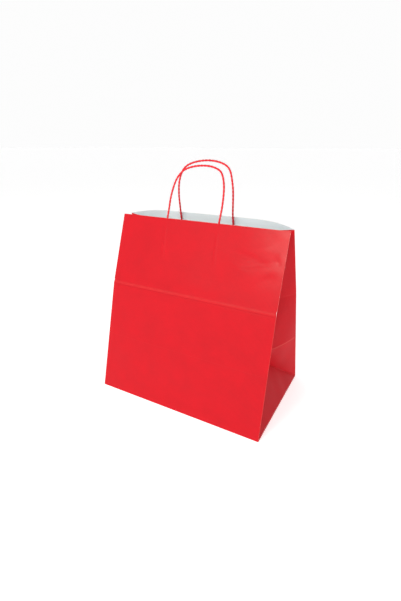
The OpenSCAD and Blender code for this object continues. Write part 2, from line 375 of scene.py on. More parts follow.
# A dent: its place across, its rise above the crease, half length, half width, tilt in
# degrees and how far it stands out, all in millimetres.
DENTS = {
    FRONT: [
        (96, 84, 30, 6, -12, -0.9), (112, 72, 26, 5, 14, -0.8), (84, 66, 20, 5, -22, 0.5),
        (137, 52, 16, 8, 30, -1.0), (150, 80, 9, 7, -50, -0.8), (126, 98, 34, 9, 4, 0.6),
        (52, 40, 30, 10, 10, -0.5), (-118, 92, 26, 12, -30, -0.6), (-92, 30, 34, 10, 8, 0.4),
        (14, 22, 40, 7, -4, 0.4), (-40, -70, 60, 18, 6, -0.5), (88, -52, 40, 14, -18, -0.6),
        (120, -120, 26, 20, 40, 0.5), (-120, -130, 30, 18, -35, 0.5),
    ],
    BACK: [
        (-96, 78, 30, 7, 14, -0.7), (110, 60, 28, 7, -20, -0.8), (20, 30, 46, 9, 5, 0.4),
        (-50, -60, 50, 16, -8, -0.5), (80, -110, 36, 18, 24, 0.5), (-118, 20, 16, 9, -40, 0.6),
    ],
}
# The paper lies calm within these distances of the side edges, the foot and the mouth.
CALM_SIDE, CALM_FOOT, CALM_MOUTH = 16 * MM, 14 * MM, 30 * MM
# The ridge, the groove and the base's fold that pressing leaves: height, place and half width
# in millimetres. The first two places are above the crease, and the third is above the base.
PRESSED_RIDGE = (0.4, 2.0, 2.0)
PRESSED_GROOVE = (-0.3, -1.8, 1.6)
BASE_FOLD = (0.14, HALF_DEPTH / MM, 1.2)
# The ridge over a glued cord: height and half width in millimetres.
CORD_RIDGE = (0.55, 1.3)
# The glued cord ends: place across at the mouth, and at the strips' lower edge.
LEGS = {FRONT: [(-64, -60), (38, 42)], BACK: [(-61, -60), (45, 46)]}


def leg_across(side, leg, below):
    """Where a glued cord end is along X, at a distance below the mouth."""
    at_mouth, at_bottom = (x * MM for x in LEGS[side][leg])
    handles = bpy.context.scene.gift_bag_handles
    reach = handles.strip_drop + handles.strip_height
    return at_mouth + (at_bottom - at_mouth) * np.clip(below / reach, 0, 1)


def soft_waves(side, across, up):
    """Low waves as in paper that has been folded and handled, from -1 to 1."""
    k = 2 * math.pi
    return (
        0.45 * np.sin(k * (across / 0.21 + up / 0.37) + side)
        + 0.30 * np.sin(k * (across / 0.093 - up / 0.18) + 2.1 * side)
        + 0.25 * np.sin(k * (across / 0.31 + up / 0.071) + 0.7)
    )


def relief(side, across, up, paper):
    """How far a handled panel stands off its true surface."""
    past = up - LOWER
    calm_edges = smooth(HALF_WIDTH - np.abs(across), 0, CALM_SIDE) * smooth(up, 0, CALM_FOOT)
    calm_mouth = 1 - 0.6 * smooth(past, UPPER - CALM_MOUTH, UPPER)
    height = paper.wave * soft_waves(side, across, up) * calm_mouth
    for x, rise, length, width, tilt, depth in DENTS[side]:
        c, s = math.cos(math.radians(tilt)), math.sin(math.radians(tilt))
        along = ((across - x * MM) * c + (past - rise * MM) * s) / (length * MM)
        beside = ((past - rise * MM) * c - (across - x * MM) * s) / (width * MM)
        height = height + depth * MM * np.exp(-along ** 2 - beside ** 2)
    return height * calm_edges


def long_ridge(up, height, place, half_width):
    """A level ridge across a panel, from its three sizes in millimetres."""
    return height * MM * np.exp(-((up - place * MM) / (half_width * MM)) ** 2)


def crease_marks(side, across, up):
    """The ridges that pressed creases and the glued cords leave on the outside."""
    height = long_ridge(up - LOWER, *PRESSED_RIDGE)
    height = height + long_ridge(up - LOWER, *PRESSED_GROOVE)
    height = height + long_ridge(up, *BASE_FOLD)
    height = height * smooth(HALF_WIDTH - np.abs(across), 0, 5 * MM)
    below = PANEL - up
    ridge, half_width = (size * MM for size in CORD_RIDGE)
    window = smooth(below, 10 * MM, 22 * MM) * smooth(below, 74 * MM, 64 * MM)
    for leg in (0, 1):
        beside = (across - leg_across(side, leg, below)) / half_width
        height = height + ridge * window * np.exp(-beside ** 2)
    return height


def panel_face(side, across, up, paper, depth=0.0, marks=False):
    """Places at a depth into the bag below a panel's handled outer face."""
    places = panel_places(side, across, up, paper)
    height = relief(side, across, up, paper) - depth
    if marks:
        height = height + crease_marks(side, across, up)
    return places + grid_normals(places) * height[..., None]


def panel_grid(side, from_across, to_across, ups, cell):
    """A grid whose columns run to the right as seen from outside the bag."""
    low, high = sorted((from_across, to_across))
    columns = max(3, round((high - low) / cell) + 1)
    line = np.linspace(low, high, columns) if side == FRONT else np.linspace(high, low, columns)
    return np.meshgrid(line, ups)


def panel_heights(cell):
    """Heights up a panel, closer together at its creases."""
    bend = LOWER + np.array([-6, -4, -3, -2.2, -1.5, -0.8, 0, 0.8, 1.5, 2.2, 3, 4, 6]) * MM
    below = np.linspace(0, bend[0], round(bend[0] / (1.3 * cell)) + 1)[:-1]
    above = np.linspace(bend[-1], PANEL, round((PANEL - bend[-1]) / (1.3 * cell)) + 1)[1:]
    return np.concatenate([below, bend, above])


def flat_of(side, across, up):
    """The flat pattern of a panel, from its lower left corner as seen from outside."""
    return np.stack([HALF_WIDTH - side * across, up], axis=-1)


def bend_at_crease(piece):
    """Bakes a piece's transform into its mesh."""
    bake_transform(piece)


# ---- where the gussets lie -----------------------------------------------------------------------


def meet(first, second, from_first, from_second):
    """The place nearer the bag's middle at these distances from two (x, z) places."""
    first, second = np.array(first, float), np.array(second, float)
    apart = np.linalg.norm(second - first)
    way = (second - first) / apart
    along = (from_first ** 2 - from_second ** 2 + apart ** 2) / (2 * apart)
    aside = math.sqrt(from_first ** 2 - along ** 2)
    return first + along * way + aside * np.array([-way[1], way[0]])


def gusset_landmarks():
    """The right gusset's fold points. Its paper keeps its lengths between all of them."""
    corner = {side: CREASE[side] + UPPER * way_up_edge(side) for side in (FRONT, BACK)}
    mean_lean = (LEAN_LOW[FRONT] + LEAN_LOW[BACK]) / 2
    fold_in = math.acos((1 - math.sin(mean_lean)) / math.cos(mean_lean))
    apex = np.array([HALF_WIDTH - HALF_DEPTH * math.sin(fold_in), HALF_DEPTH * math.cos(fold_in)])

    def middle(ends):
        return (ends[FRONT] + ends[BACK]) / 2

    def reach(ends):
        return math.sqrt(HALF_DEPTH ** 2 - ((ends[BACK][0] - ends[FRONT][0]) / 2) ** 2)

    knee = meet(apex, (HALF_WIDTH, middle(CREASE)[1]), LOWER - HALF_DEPTH, reach(CREASE))
    top = meet(knee, (HALF_WIDTH, middle(corner)[1]), UPPER, reach(corner))
    points = {
        "base": np.array([HALF_WIDTH, 0, 0]),
        "apex": np.array([apex[0], 0, apex[1]]),
        "knee": np.array([knee[0], middle(CREASE)[0], knee[1]]),
        "top": np.array([top[0], middle(corner)[0], top[1]]),
    }
    for side in (FRONT, BACK):
        points["foot", side] = np.array([HALF_WIDTH, side * HALF_DEPTH, 0])
        points["crease", side] = np.array([HALF_WIDTH, *CREASE[side]])
        points["corner", side] = np.array([HALF_WIDTH, *corner[side]])
    return points


def on_facet(pattern, points, s, t):
    """Carries flat places (s, t) over to the triangle of points that stands for a flat one."""
    (s0, t0), (s1, t1), (s2, t2) = pattern
    area = (s1 - s0) * (t2 - t0) - (s2 - s0) * (t1 - t0)
    b = ((s - s0) * (t2 - t0) - (s2 - s0) * (t - t0)) / area
    c = ((s1 - s0) * (t - t0) - (s - s0) * (t1 - t0)) / area
    return points[0] + b[..., None] * (points[1] - points[0]) + c[..., None] * (points[2] - points[0])


def outward_normal(a, b, c):
    """The normal of a facet of the right gusset, away from the bag's inside."""
    normal = np.cross(b - a, c - a)
    normal = normal / np.linalg.norm(normal)
    return normal * np.sign(normal[0])


TINY = 1e-6
# Rounds in which the free bends of a gusset relax, and how far each round goes.
RELAX_ROUNDS, RELAX_SHARE = 40, 0.6
# A gusset's ripple: its height, and its length along and up the paper.
RIPPLE_HEIGHT, RIPPLE_ALONG, RIPPLE_UP = 0.35 * MM, 0.047, 0.083


def share_of(part, whole):
    """A part of a length as a share of it, also where the length is nothing."""
    return part / np.maximum(whole, TINY)


def half_gusset(side, paper):
    """Half of the right gusset: its flat pattern (s, t) and places, s from the panel's edge."""
    n = paper.fold_cells
    d, h = HALF_DEPTH, PANEL
    heights = np.concatenate([
        np.linspace(0, d, n + 1), np.linspace(d, LOWER, n + 1)[1:], np.linspace(LOWER, h, n + 1)[1:]
    ])
    s, t = np.meshgrid(np.linspace(0, d, n + 1), heights)
    p = gusset_landmarks()
    foot, crease, corner = p["foot", side], p["crease", side], p["corner", side]
    facets = [
        (((0, 0), (d, 0), (d, d)), (foot, p["base"], p["apex"])),
        (((0, 0), (0, LOWER), (d, d)), (foot, crease, p["apex"])),
        (((0, LOWER), (d, LOWER), (d, d)), (crease, p["knee"], p["apex"])),
        (((0, LOWER), (0, h), (d, LOWER)), (crease, corner, p["knee"])),
        (((0, h), (d, h), (d, LOWER)), (corner, p["top"], p["knee"])),
    ]
    shoulder = LOWER - (LOWER - d) * s / d
    slope = h - (h - LOWER) * s / d
    within = [(t <= s + TINY) & (t <= d), t <= shoulder + TINY, t <= LOWER, t <= slope + TINY]
    which = np.select(within, [0, 1, 2, 3], 4)
    places = np.zeros(s.shape + (3,))
    for i, (pattern, points) in enumerate(facets):
        chosen = which == i
        places[chosen] = on_facet(pattern, points, s[chosen], t[chosen])

    # Slack paper stands out as a tent along the two level folds.
    hump = 4 * (s / d) * (1 - s / d)
    fade_low = np.where(t <= d, share_of(t - s, d - s), share_of(shoulder - t, shoulder - d))
    fade_high = np.where(
        t <= LOWER, share_of(t - shoulder, LOWER - shoulder), share_of(slope - t, slope - LOWER)
    )
    lower_way = outward_normal(foot, crease, p["apex"])
    upper_way = outward_normal(crease, p["knee"], p["apex"])
    places += (paper.gusset_slack * hump * np.clip(fade_low, 0, 1) * (which == 1))[..., None] * lower_way
    high = (which == 2) | (which == 3)
    places += (paper.shoulder_slack * hump * np.clip(fade_high, 0, 1) * high)[..., None] * upper_way

    # Bends without a pressed crease relax into curves, and pressed folds stay where they are.
    free = np.ones_like(s)
    for row in (0, n, 2 * n, 3 * n):
        free[row] = 0
    free[:, 0] = free[:, n] = 0
    free[:n + 1][np.eye(n + 1, dtype=bool)] = 0
    for _ in range(RELAX_ROUNDS):
        near = places.copy()
        near[1:-1, 1:-1] = (
            places[:-2, 1:-1] + places[2:, 1:-1] + places[1:-1, :-2] + places[1:-1, 2:]
        ) / 4
        places = places + RELAX_SHARE * free[..., None] * (near - places)
    ripple = RIPPLE_HEIGHT * np.sin(2 * math.pi * (s / RIPPLE_ALONG + t / RIPPLE_UP)) * hump * free
    places = places + ripple[..., None] * grid_normals(places)
    return s, t, places


def half_split(n):
    """Which way the cells of half a gusset are cut, so that every fold runs along edges."""
    split = -np.ones((3 * n, n), int)
    split[:n] = 1
    return split


def whole_gusset(hand, paper):
    """A gusset's flat pattern, places and cell cuts, columns to the right as seen from outside."""
    n = paper.fold_cells
    s, t, front = half_gusset(FRONT, paper)
    _, _, back = half_gusset(BACK, paper)
    places = np.concatenate([front, back[:, -2::-1]], axis=1)
    along = np.concatenate([s, 2 * HALF_DEPTH - s[:, -2::-1]], axis=1)
    flat = np.stack([along, np.concatenate([t, t[:, :-1]], axis=1)], axis=-1)
    split = np.concatenate([half_split(n), -half_split(n)[:, ::-1]], axis=1)
    if hand == LEFT:
        places = places[:, ::-1] * np.array([-1, 1, 1])
        split = -split[:, ::-1]
    return places, flat, split


# ---- materials -----------------------------------------------------------------------------------


def add(tree, kind, wires=None, **settings):
    """A shader node. wires gives its inputs: a socket to link, or a value."""
    node = tree.nodes.new("ShaderNode" + kind)
    for name, value in settings.items():
        setattr(node, name, value)
    for key, value in (wires or {}).items():
        if isinstance(value, bpy.types.NodeSocket):
            tree.links.new(value, node.inputs[key])
        else:
            node.inputs[key].default_value = value
    return node


def maths(tree, operation, first, second=0.0, third=0.0, clamp=False):
    node = add(tree, "Math", {0: first, 1: second, 2: third}, operation=operation, use_clamp=clamp)
    return node.outputs[0]


def vectors(tree, operation, first, second=(0.0, 0.0, 0.0)):
    node = add(tree, "VectorMath", {0: first, 1: second}, operation=operation)
    return node.outputs["Value" if operation in ("DOT_PRODUCT", "LENGTH") else "Vector"]


def mix_colours(tree, factor, first, second, blend="MIX"):
    node = add(tree, "Mix", {0: factor, 6: first, 7: second}, data_type="RGBA", blend_type=blend)
    return node.outputs[2]


def node_group(name, inputs, outputs):
    """A new shader node group with these inputs (name, kind, default) and float outputs."""
    tree = bpy.data.node_groups.new(name, "ShaderNodeTree")
    for label, kind, default in inputs:
        socket = tree.interface.new_socket(label, in_out="INPUT", socket_type=kind)
        if default is not None:
            socket.default_value = default
    for label in outputs:
        tree.interface.new_socket(label, in_out="OUTPUT", socket_type="NodeSocketFloat")
    return tree, tree.nodes.new("NodeGroupInput").outputs, tree.nodes.new("NodeGroupOutput").inputs


def ribbed_kraft():
    """Fine ribs along the paper, with fibres and clouds. It puts out a tone near 1 and a height."""
    name = "Ribbed kraft"
    if name in bpy.data.node_groups:
        return bpy.data.node_groups[name]
    tree, inputs, outputs = node_group(
        name,
        [
            ("Flat pattern", "NodeSocketVector", None),
            ("Rib pitch", "NodeSocketFloat", 1.9 * MM),
            ("Rib tone", "NodeSocketFloat", 0.09),
            ("Fibre tone", "NodeSocketFloat", 0.16),
            ("Cloud tone", "NodeSocketFloat", 0.26),
        ],
        ["Tone", "Height", "Cloud"],
    )
    place = inputs["Flat pattern"]
    split = add(tree, "SeparateXYZ", {0: place})
    drift = add(tree, "TexNoise", {"Vector": place, "Scale": 40.0, "Detail": 2.0})
    turns = maths(tree, "DIVIDE", split.outputs[0], inputs["Rib pitch"])
    turns = maths(tree, "MULTIPLY_ADD", drift.outputs[0], 0.8, turns)
    rib = maths(tree, "SINE", maths(tree, "MULTIPLY", turns, 2 * math.pi))
    stretched = add(tree, "VectorMath", {0: place, 1: (1500.0, 260.0, 1.0)}, operation="MULTIPLY")
    fibre = add(tree, "TexNoise", {"Vector": stretched.outputs[0], "Scale": 1.0, "Detail": 3.0})
    cloud = add(tree, "TexNoise", {"Vector": place, "Scale": 26.0, "Detail": 4.0, "Roughness": 0.6})
    fibre_off = maths(tree, "SUBTRACT", fibre.outputs[0], 0.5)
    cloud_off = maths(tree, "SUBTRACT", cloud.outputs[0], 0.5)
    tone = maths(tree, "MULTIPLY_ADD", rib, inputs["Rib tone"], 1.0)
    tone = maths(tree, "MULTIPLY_ADD", fibre_off, inputs["Fibre tone"], tone)
    tone = maths(tree, "MULTIPLY_ADD", cloud_off, inputs["Cloud tone"], tone)
    height = maths(tree, "MULTIPLY_ADD", fibre_off, 0.5, maths(tree, "MULTIPLY", rib, 0.5))
    tree.links.new(tone, outputs["Tone"])
    tree.links.new(height, outputs["Height"])
    tree.links.new(cloud.outputs[0], outputs["Cloud"])
    return tree


def fold_line_mask():
    """A mask along one fold of the flat pattern, from Start to End, broken up as rubbed print is. It
    places rubbed print, painted highlights, painted shade and glossy places.
    """
    name = "Fold wear"
    if name in bpy.data.node_groups:
        return bpy.data.node_groups[name]
    tree, inputs, outputs = node_group(
        name,
        [
            ("Flat pattern", "NodeSocketVector", None),
            ("Start", "NodeSocketVector", (0, 0, 0)),
            ("End", "NodeSocketVector", (0, 0.1, 0)),
            ("Half width", "NodeSocketFloat", 1.0 * MM),
            ("Strength", "NodeSocketFloat", 0.5),
        ],
        ["Mask"],
    )
    fold = vectors(tree, "SUBTRACT", inputs["End"], inputs["Start"])
    here = vectors(tree, "SUBTRACT", inputs["Flat pattern"], inputs["Start"])
    share = maths(
        tree, "DIVIDE", vectors(tree, "DOT_PRODUCT", here, fold), vectors(tree, "DOT_PRODUCT", fold, fold),
        clamp=True,
    )
    nearest = add(tree, "VectorMath", {0: fold, "Scale": share}, operation="SCALE").outputs[0]
    away = vectors(tree, "LENGTH", vectors(tree, "SUBTRACT", here, nearest))
    ragged = add(tree, "TexNoise", {"Vector": inputs["Flat pattern"], "Scale": 320.0, "Detail": 3.0})
    width = maths(tree, "MULTIPLY", inputs["Half width"], maths(tree, "ADD", ragged.outputs[0], 0.5))
    line = maths(tree, "SUBTRACT", 1.0, maths(tree, "DIVIDE", away, width), clamp=True)
    patches = add(tree, "TexNoise", {"Vector": inputs["Flat pattern"], "Scale": 60.0, "Detail": 2.0})
    strength = maths(tree, "MULTIPLY", inputs["Strength"], maths(tree, "ADD", patches.outputs[0], 0.5))
    tree.links.new(maths(tree, "MULTIPLY", line, strength, clamp=True), outputs["Mask"])
    return tree


def use_group(tree, group, wires):
    """Places a node group in a tree, and gives its outputs."""
    return add(tree, "Group", wires, node_tree=group).outputs


def new_material(name):
    """A material with only a Principled shader and its output."""
    material = bpy.data.materials.new(name)
    material.use_nodes = True
    tree = material.node_tree
    tree.nodes.clear()
    shader = tree.nodes.new("ShaderNodeBsdfPrincipled")
    output = tree.nodes.new("ShaderNodeOutputMaterial")
    tree.links.new(shader.outputs[0], output.inputs[0])
    return material, tree, shader


def colour(value):
    return (*value, 1.0)


def along_folds(tree, flat, folds):
    """One mask for several folds, each (start, end, half width, strength) in the flat pattern."""
    mask = 0.0
    for start, end, half_width, strength in folds:
        line = use_group(tree, fold_line_mask(), {
            "Flat pattern": flat, "Start": (*start, 0), "End": (*end, 0),
            "Half width": half_width, "Strength": strength,
        })["Mask"]
        mask = maths(tree, "MAXIMUM", mask, line)
    return mask


PRINT_SPECULAR = 0.2
# The print's roughness, how much the clouds in the paper add, and how much gloss takes away.
PRINT_ROUGHNESS, CLOUD_ROUGHNESS, GLOSS_DROP = 0.44, 0.16, 0.3


def printed_paper(name, wear_and_highlight, pressed, glossy):
    """Red printed kraft, with its rubbed folds and painted highlights along them, painted shade along the
    creases, and glossy places.
    """
    if name in bpy.data.materials:
        return bpy.data.materials[name]
    colours = bpy.context.scene.gift_bag_colours
    material, tree, shader = new_material(name)
    flat = add(tree, "UVMap", uv_map="Flat").outputs[0]
    kraft = use_group(tree, ribbed_kraft(), {"Flat pattern": flat})
    base = mix_colours(tree, 1.0, colour(colours.outside), kraft["Tone"], blend="MULTIPLY")
    # Painted shade along the creases.
    base = mix_colours(tree, along_folds(tree, flat, pressed), base, colour(colours.pressed))
    # Rubbed print along the folds and painted highlights, in one lighter colour.
    base = mix_colours(tree, along_folds(tree, flat, wear_and_highlight), base, colour(colours.wear_and_highlight))
    tree.links.new(base, shader.inputs["Base Color"])
    shader.inputs["Specular IOR Level"].default_value = PRINT_SPECULAR
    rough = maths(tree, "MULTIPLY_ADD", kraft["Cloud"], CLOUD_ROUGHNESS, PRINT_ROUGHNESS)
    rough = maths(tree, "MULTIPLY_ADD", along_folds(tree, flat, glossy), -GLOSS_DROP, rough)
    tree.links.new(rough, shader.inputs["Roughness"])
    bump = add(tree, "Bump", {"Height": kraft["Height"], "Strength": 0.35, "Distance": 0.06 * MM})
    tree.links.new(bump.outputs[0], shader.inputs["Normal"])
    return material


def bare_paper(name, base_colour, rib_tone):
    """Unprinted white kraft, matt."""
    if name in bpy.data.materials:
        return bpy.data.materials[name]
    material, tree, shader = new_material(name)
    flat = add(tree, "UVMap", uv_map="Flat").outputs[0]
    kraft = use_group(tree, ribbed_kraft(), {
        "Flat pattern": flat, "Rib tone": rib_tone, "Fibre tone": 0.06, "Cloud tone": 0.04,
    })
    base = mix_colours(tree, 1.0, colour(base_colour), kraft["Tone"], blend="MULTIPLY")
    tree.links.new(base, shader.inputs["Base Color"])
    tree.links.new(maths(tree, "MULTIPLY_ADD", kraft["Cloud"], 0.1, 0.62), shader.inputs["Roughness"])
    bump = add(tree, "Bump", {"Height": kraft["Height"], "Strength": 0.3, "Distance": 0.05 * MM})
    tree.links.new(bump.outputs[0], shader.inputs["Normal"])
    return material


def twisted_paper():
    """The cord's paper: dyed through, with fine spiral folds. Its tone follows their bump, as painted
    shade in the valleys and painted highlights on the crests.
    """
    name = "Twisted red paper"
    if name in bpy.data.materials:
        return bpy.data.materials[name]
    colours = bpy.context.scene.gift_bag_colours
    material, tree, shader = new_material(name)
    flat = add(tree, "UVMap", uv_map="Flat").outputs[0]
    stretched = add(tree, "VectorMath", {0: flat, 1: (160.0, 1400.0, 1.0)}, operation="MULTIPLY")
    fold = add(tree, "TexNoise", {"Vector": stretched.outputs[0], "Scale": 1.0, "Detail": 3.0})
    # Painted shade and highlight: the bump's own noise darkens the valleys and lightens the crests.
    tone = maths(tree, "MULTIPLY_ADD", fold.outputs[0], 0.5, 0.75)
    base = mix_colours(tree, 1.0, colour(colours.cord), tone, blend="MULTIPLY")
    tree.links.new(base, shader.inputs["Base Color"])
    tree.links.new(maths(tree, "MULTIPLY_ADD", fold.outputs[0], 0.2, 0.42), shader.inputs["Roughness"])
    bump = add(tree, "Bump", {"Height": fold.outputs[0], "Strength": 0.5, "Distance": 0.15 * MM})
    tree.links.new(bump.outputs[0], shader.inputs["Normal"])
    return material


def panel_print():
    """The print on a front or back panel, rubbed along its edges and creases, with painted highlights
    along them and painted shade under the creases.
    """
    w, h, g = 2 * HALF_WIDTH, PANEL, HALF_DEPTH
    ridge, valley = LOWER + 2.0 * MM, LOWER - 1.6 * MM
    # Rubbed print along the edges and folds, and painted highlights: a lighter line along each fold, and a
    # broad lighter band on the ridge just above the crease.
    wear_and_highlight = [
        ((0, 0), (0, h), 0.9 * MM, 0.5), ((w, 0), (w, h), 0.9 * MM, 0.5),
        ((0, 0), (w, 0), 0.9 * MM, 0.5), ((0, h), (w, h), 0.8 * MM, 0.4),
        ((0, ridge), (w, ridge), 3.4 * MM, 0.16), ((0, g), (w, g), 1.0 * MM, 0.05),
    ]
    # Painted shade: dark lines just below the crease and the base's fold.
    pressed = [((0, valley), (w, valley), 1.5 * MM, 0.5), ((0, g - MM), (w, g - MM), 1.0 * MM, 0.12)]
    glossy = [((w, LOWER + 85 * MM), (w, h), 80 * MM, 0.65)]
    return printed_paper("Printed panel", wear_and_highlight, pressed, glossy)


def gusset_print():
    """The print on a gusset, rubbed along its folds, with painted highlights along them and painted shade
    just below its lower level fold.
    """
    d, h = HALF_DEPTH, PANEL
    # Rubbed print along the folds, and painted highlights: lighter lines along each fold, brightest along
    # the lower level fold.
    wear_and_highlight = [
        ((0, 0), (0, h), 0.9 * MM, 0.4), ((2 * d, 0), (2 * d, h), 0.9 * MM, 0.4),
        ((0, d), (2 * d, d), 1.8 * MM, 0.6), ((0, LOWER), (2 * d, LOWER), 1.0 * MM, 0.15),
        ((0, 0), (d, d), 0.9 * MM, 0.25), ((2 * d, 0), (d, d), 0.9 * MM, 0.25),
        ((d, d), (d, h), 1.0 * MM, 0.4), ((0, 0), (2 * d, 0), 0.9 * MM, 0.5),
    ]
    # Painted shade: a dark line just below the lower level fold.
    below = d - 2.2 * MM
    pressed = [((0, below), (2 * d, below), 1.6 * MM, 0.4)]
    return printed_paper("Printed gusset", wear_and_highlight, pressed, [])


def inside_paper():
    return bare_paper("Bare inside", bpy.context.scene.gift_bag_colours.inside, 0.02)


def strip_paper():
    return bare_paper("Strip paper", bpy.context.scene.gift_bag_colours.strip, 0.03)


# ---- operators -----------------------------------------------------------------------------------

# How deep the inner layers lie below the outer face, in thicknesses of paper.
LAP_DEPTH, BACKING_DEPTH, CORD_DEPTH, COVER_DEPTH = 1.15, 1.1, 2.1, 2.2
# The cover strip's room around a cord, and half its ridge's width in cord diameters.
WRAP_ROOM, WRAP_WIDTH = 0.15 * MM, 1.5
# How deep the lower gusset's lip lies behind the upper sheets, in thicknesses of paper.
LIP_DEPTH = 2.5
# How far the middle of the base is bowed up.
BASE_BOW = 1.2 * MM


class MESH_OT_gift_bag_panels(bpy.types.Operator):
    """Make the front and back panels, each one sheet that bends at its crease"""

    bl_idname = "mesh.gift_bag_panels"
    bl_label = "Front and back panels"

    def execute(self, context):
        paper = context.scene.gift_bag_paper
        for side in (FRONT, BACK):
            across, up = panel_grid(side, -HALF_WIDTH, HALF_WIDTH, panel_heights(paper.cell), paper.cell)
            places = panel_face(side, across, up, paper, marks=True)
            panel = paper_sheet(
                f"{SIDE_NAMES[side]}_panel", places, flat_of(side, across, up),
                [panel_print(), inside_paper()], paper.thickness, bare_mouth=True,
            )
            stand_for(
                panel, "red_paper", f"{SIDE_NAMES[side]}_panel_lower", f"{SIDE_NAMES[side]}_panel_upper"
            )
            bend_at_crease(panel)
        return {"FINISHED"}


class MESH_OT_gift_bag_seam(bpy.types.Operator):
    """Make the blank's glued lap, inside the back panel's left edge"""

    bl_idname = "mesh.gift_bag_seam"
    bl_label = "Side seam lap"

    def execute(self, context):
        paper = context.scene.gift_bag_paper
        low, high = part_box("side_seam_lap_lower")
        ups = panel_heights(paper.cell)
        ups = np.concatenate([[low.z / math.cos(LEAN_LOW[BACK])], ups[ups > 4 * MM]])
        across, up = panel_grid(BACK, low.x, high.x, ups, paper.cell)
        places = panel_face(BACK, across, up, paper, depth=LAP_DEPTH * paper.thickness)
        lap = paper_sheet(
            "side_seam_lap", places, flat_of(BACK, across, up), [panel_print(), inside_paper()],
            paper.thickness, bare_mouth=True,
        )
        stand_for(lap, "red_paper", "side_seam_lap_lower", "side_seam_lap_upper")
        bend_at_crease(lap)
        return {"FINISHED"}


# A gusset is thinner within this distance of its side folds, down to this share.
THINNING, THINNEST = 3 * MM, 0.08


def gusset_thickness(flat, paper):
    """Thins a gusset towards its two side folds, so that it stays behind the panels there."""
    inwards = np.minimum(flat[..., 0], 2 * HALF_DEPTH - flat[..., 0])
    return paper.thickness * np.clip(inwards / THINNING, THINNEST, 1)


class MESH_OT_gift_bag_gussets(bpy.types.Operator):
    """Make the two folded side gussets, each a lower piece and two sheets above the crease"""

    bl_idname = "mesh.gift_bag_gussets"
    bl_label = "Side gussets"

    def execute(self, context):
        paper = context.scene.gift_bag_paper
        for hand in (LEFT, RIGHT):
            self.lower(hand, paper)
            for side in (FRONT, BACK):
                self.upper(hand, side, paper)
        return {"FINISHED"}

    def lower(self, hand, paper):
        """The folds below the crease, with a hidden lip that stays behind the upper sheets."""
        n = paper.fold_cells
        places, flat, split = whole_gusset(hand, paper)
        normals = grid_normals(places[2 * n:])
        lip = places[2 * n:] - normals * (LIP_DEPTH * paper.thickness)
        places = np.concatenate([places[:2 * n + 1], lip[1:3]])
        name, word = HAND_NAMES[hand], SIDE_NAMES
        flat = flat[:2 * n + 3]
        gusset = paper_sheet(
            f"gusset_{name}", places, flat, [gusset_print(), inside_paper()],
            gusset_thickness(flat, paper), split=split[:2 * n + 2],
        )
        nodes = [f"gusset_{word[side]}_{name}_{part}" for side in word for part in ("lower", "middle")]
        stand_for(gusset, "red_paper", f"gusset_triangle_{name}", *nodes)
        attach(gusset, "bag_body")

    def upper(self, hand, side, paper):
        """Half of the gusset above the crease: it meets the panel at its edge only."""
        n = paper.fold_cells
        places, flat, split = whole_gusset(hand, paper)
        first = (hand == RIGHT) == (side == FRONT)
        columns = slice(0, n + 1) if first else slice(n, 2 * n + 1)
        cells = slice(0, n) if first else slice(n, 2 * n)
        name = f"gusset_{SIDE_NAMES[side]}_{HAND_NAMES[hand]}_upper"
        flat = flat[2 * n:, columns]
        sheet = paper_sheet(
            f"{name}_sheet", places[2 * n:, columns], flat, [gusset_print(), inside_paper()],
            gusset_thickness(flat, paper), split=split[2 * n:, cells], bare_mouth=True,
        )
        stand_for(sheet, "red_paper", name)
        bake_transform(sheet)


class MESH_OT_gift_bag_base(bpy.types.Operator):
    """Make the folded base: two long flaps, the mitred corner folds and two end tabs"""

    bl_idname = "mesh.gift_bag_base"
    bl_label = "Folded base"

    def execute(self, context):
        paper = context.scene.gift_bag_paper
        materials = [panel_print(), inside_paper()]
        for side in (FRONT, BACK):
            node = f"base_flap_{SIDE_NAMES[side]}"
            share, reach = np.meshgrid(np.linspace(-1, 1, 61), np.linspace(0, FLAP, 27))
            across = share * (HALF_WIDTH - reach)
            flap = self.layer(across, side * (HALF_DEPTH - reach), node, paper, printed_below=True)
            piece = add_mesh(node + "_sheet", *flap, materials)
            stand_for(piece, "red_paper", node)
            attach(piece, "bag_body")
        self.corner_folds(materials, paper)
        for hand in (LEFT, RIGHT):
            node = f"base_tab_{HAND_NAMES[hand]}"
            low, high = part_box(node)
            across, along = np.meshgrid(np.linspace(low.x, high.x, 27), np.linspace(low.y, high.y, 43))
            piece = add_mesh(node + "_sheet", *self.layer(across, along, node, paper, True), materials)
            stand_for(piece, "red_paper", node)
            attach(piece, "bag_body")
        return {"FINISHED"}

    def layer(self, across, along, node, paper, printed_below, lift=0.0):
        """One flat layer at its node's height, bowed up a little in the middle of the base."""
        bow = BASE_BOW * (1 - (across / HALF_WIDTH) ** 2) * (1 - (along / HALF_DEPTH) ** 2)
        places = np.stack([across, along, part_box(node)[0].z + lift + bow], axis=-1)
        if grid_normals(places)[0, 0, 2] < 0:
            places = places[:, ::-1]
        if printed_below:
            places = places[:, ::-1]
        else:
            places = places + np.array([0, 0, paper.thickness])
        flat = places[..., :2] + np.array([HALF_WIDTH, HALF_DEPTH])
        return sheet_parts(places, flat, paper.thickness)

    def corner_folds(self, materials, paper):
        """The four mitres' second layers lie printed side up, under the tabs."""
        node = "base_corner_folds"
        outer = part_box(node)[1]
        sheets = []
        for side in (FRONT, BACK):
            for hand in (LEFT, RIGHT):
                share, reach = np.meshgrid(np.linspace(0, 0.98, 14), np.linspace(0, 1, 14))
                inset = HALF_WIDTH - FLAP
                across = hand * (inset + (outer.x - inset) * share)
                along = side * (outer.y - (outer.x - np.abs(across)) * reach)
                lift = 0.0 if side == FRONT else paper.thickness
                sheets.append(self.layer(across, along, node, paper, False, lift))
        piece = joined_sheets(node + "_sheets", sheets, materials)
        stand_for(piece, "red_paper", node)
        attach(piece, "bag_body")


